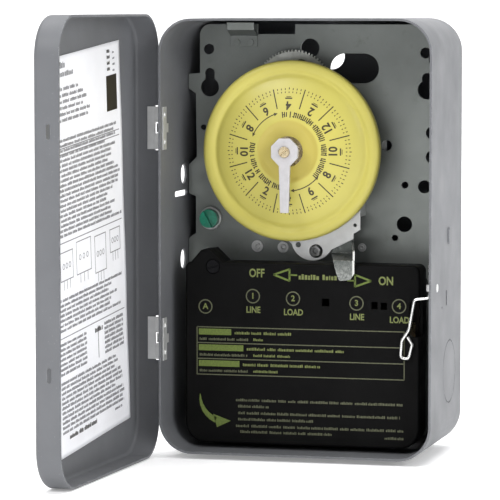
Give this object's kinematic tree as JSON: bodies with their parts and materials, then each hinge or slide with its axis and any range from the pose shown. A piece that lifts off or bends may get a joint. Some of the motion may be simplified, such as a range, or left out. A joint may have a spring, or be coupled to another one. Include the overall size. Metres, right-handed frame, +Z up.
{
  "type": "mechanical time switch",
  "caption": "Wall-mounted mechanical 24-hour time switch: hinged steel case, yellow trip dial with pointer, manual lever, and terminals under an insulating cover.",
  "frame": {"origin": "centre of the flat back of the case, on the wall plane", "axes": "+X to the right seen from the front, +Y into the wall, +Z up; the front faces -Y"},
  "size_m": [0.1436, 0.1915, 0.197],
  "materials": {
    "enclosure_paint": "satin grey enamel",
    "zinc_plate": "bright zinc plate",
    "satin_plate": "satin, faint grain",
    "spring_steel": "drawn wire and blank",
    "green_paint": "gloss green",
    "yellow_enamel": "satin yellow enamel",
    "pointer_plastic": "pale moulded",
    "brass": "turned",
    "motor_steel": "drawn and plated",
    "copper_winding": "taped copper winding",
    "gear_nylon": "moulded",
    "lead_insulation": "matte",
    "insulator_plastic": "fine texture",
    "phenolic": "moulded",
    "screw_black": "black oxide",
    "label_paper": "coated paper"
  },
  "bodies": {
    "case": {"case_shell": "enclosure_paint", "support_studs": "zinc_plate", "hinge_case_leaf_upper": "zinc_plate", "hinge_case_leaf_lower": "zinc_plate", "hinge_pin_upper": "zinc_plate", "hinge_pin_lower": "zinc_plate", "case_hinge_rivets": "zinc_plate", "mechanism_plate": "satin_plate", "plate_rivets": "zinc_plate", "ground_washer": "zinc_plate", "ground_screw": "green_paint", "top_catch": "satin_plate", "catch_rivets": "satin_plate", "motor_base": "motor_steel", "motor_can": "motor_steel", "motor_coil": "copper_winding", "motor_gearcase": "motor_steel", "motor_screws": "zinc_plate", "motor_leads": "lead_insulation", "centre_post": "motor_steel", "dial_spring": "spring_steel", "pointer": "pointer_plastic", "pointer_screw": "brass", "transfer_stud": "zinc_plate", "trip_bracket": "zinc_plate", "bracket_screw": "zinc_plate", "hex_stud": "zinc_plate", "lever_pivot": "zinc_plate", "toggle_spring": "spring_steel", "spring_post": "zinc_plate", "terminal_block": "phenolic", "terminal_plates": "brass", "terminal_screws": "zinc_plate", "contact_bar_pin": "spring_steel", "fixed_contacts": "brass", "insulator_cover": "insulator_plastic", "cover_screw": "screw_black", "latch_clip": "zinc_plate"},
    "door": {"door_pan": "enclosure_paint", "door_label": "label_paper", "hinge_door_leaf_upper": "zinc_plate", "hinge_door_leaf_lower": "zinc_plate", "door_hinge_rivets": "zinc_plate"},
    "dial_slide": {"dial_sleeve": "brass"},
    "dial": {"dial": "yellow_enamel", "dial_pinion": "brass"},
    "transfer": {"transfer_gear": "gear_nylon"},
    "motor_output": {"motor_pinion": "brass"},
    "rotor": {"motor_rotor": "motor_steel"},
    "lever": {"manual_lever": "spring_steel"},
    "contacts": {"contact_bar": "phenolic", "moving_contacts": "brass"},
    "latch": {"wire_latch": "spring_steel"}
  },
  "joints": [
    {"name": "door_hinge", "type": "hinge", "parent": "case", "child": "door", "pos_m": [-0.0638, -0.0643, 0], "axis": [0, 0, -1], "range_deg": [-92.5, 77.5]},
    {"name": "dial_pull", "type": "slide", "parent": "case", "child": "dial_slide", "axis": [0, -1, 0], "range_m": [0, 0.0025], "stiffness_N_per_m": 400, "springref_m": -0.002, "deforming": ["dial_spring"]},
    {"name": "dial_turn", "type": "hinge", "parent": "dial_slide", "child": "dial", "pos_m": [-0.008, -0.048, 0.0374], "axis": [0, 1, 0], "continuous": true},
    {"name": "transfer_turn", "type": "hinge", "parent": "case", "child": "transfer", "pos_m": [-0.01001, -0.034, 0.06407], "axis": [0, 1, 0], "continuous": true},
    {"name": "motor_turn", "type": "hinge", "parent": "case", "child": "motor_output", "pos_m": [0.0072, -0.034, 0.05203], "axis": [0, 1, 0], "continuous": true},
    {"name": "rotor_spin", "type": "hinge", "parent": "case", "child": "rotor", "pos_m": [0.0072, -0.015, 0.0405], "axis": [0, 1, 0], "continuous": true},
    {"name": "lever_swing", "type": "hinge", "parent": "case", "child": "lever", "pos_m": [0.012, -0.038, 0.017], "axis": [0, 1, 0], "range_deg": [-14, 0], "deforming": ["toggle_spring"]},
    {"name": "contact_rock", "type": "hinge", "parent": "case", "child": "contacts", "pos_m": [0.011, -0.0414, -0.0266], "axis": [1, 0, 0], "range_deg": [-8, 0]},
    {"name": "latch_swing", "type": "hinge", "parent": "case", "child": "latch", "pos_m": [0.0584, -0.0616, -0.02], "axis": [0, 0, 1], "range_deg": [0, 60]}
  ],
  "couplings": [
    {"joint": "transfer_turn", "follows": "dial_turn", "ratio": -0.48611},
    {"joint": "motor_turn", "follows": "dial_turn", "ratio": 2.9167},
    {"joint": "contact_rock", "follows": "lever_swing", "ratio": 0.5}
  ]
}
